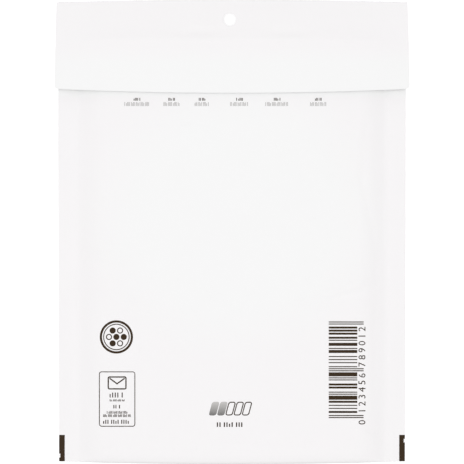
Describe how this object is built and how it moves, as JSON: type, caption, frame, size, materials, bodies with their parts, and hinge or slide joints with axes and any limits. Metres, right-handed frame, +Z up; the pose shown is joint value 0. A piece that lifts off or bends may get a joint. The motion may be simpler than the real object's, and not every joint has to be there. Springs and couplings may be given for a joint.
{
  "type": "padded envelope",
  "caption": "White paper mailing envelope lined with bubble film, with sealed sides, a folded bottom, a fold-over self-seal flap and a hang hole.",
  "frame": {"origin": "on the surface that the envelope lies on, under the middle of its bounding box", "axes": "+Z up out of the front panel, +Y from the bottom fold towards the flap's crease, +X to the right when the front is read"},
  "size_m": [0.1724, 0.2272, 0.0086],
  "materials": {
    "white_paper": "matt uncoated white paper with faint creases",
    "bubble_film": "translucent soft polyethylene film",
    "adhesive": "clear to pale amber pressure-sensitive adhesive",
    "release_paper": "smooth silicone-coated paper tape"
  },
  "bodies": {
    "root": {"paper_envelope": "white_paper", "bubble_liner": "bubble_film", "adhesive_strip": "adhesive", "release_liner": "release_paper"}
  },
  "joints": []
}
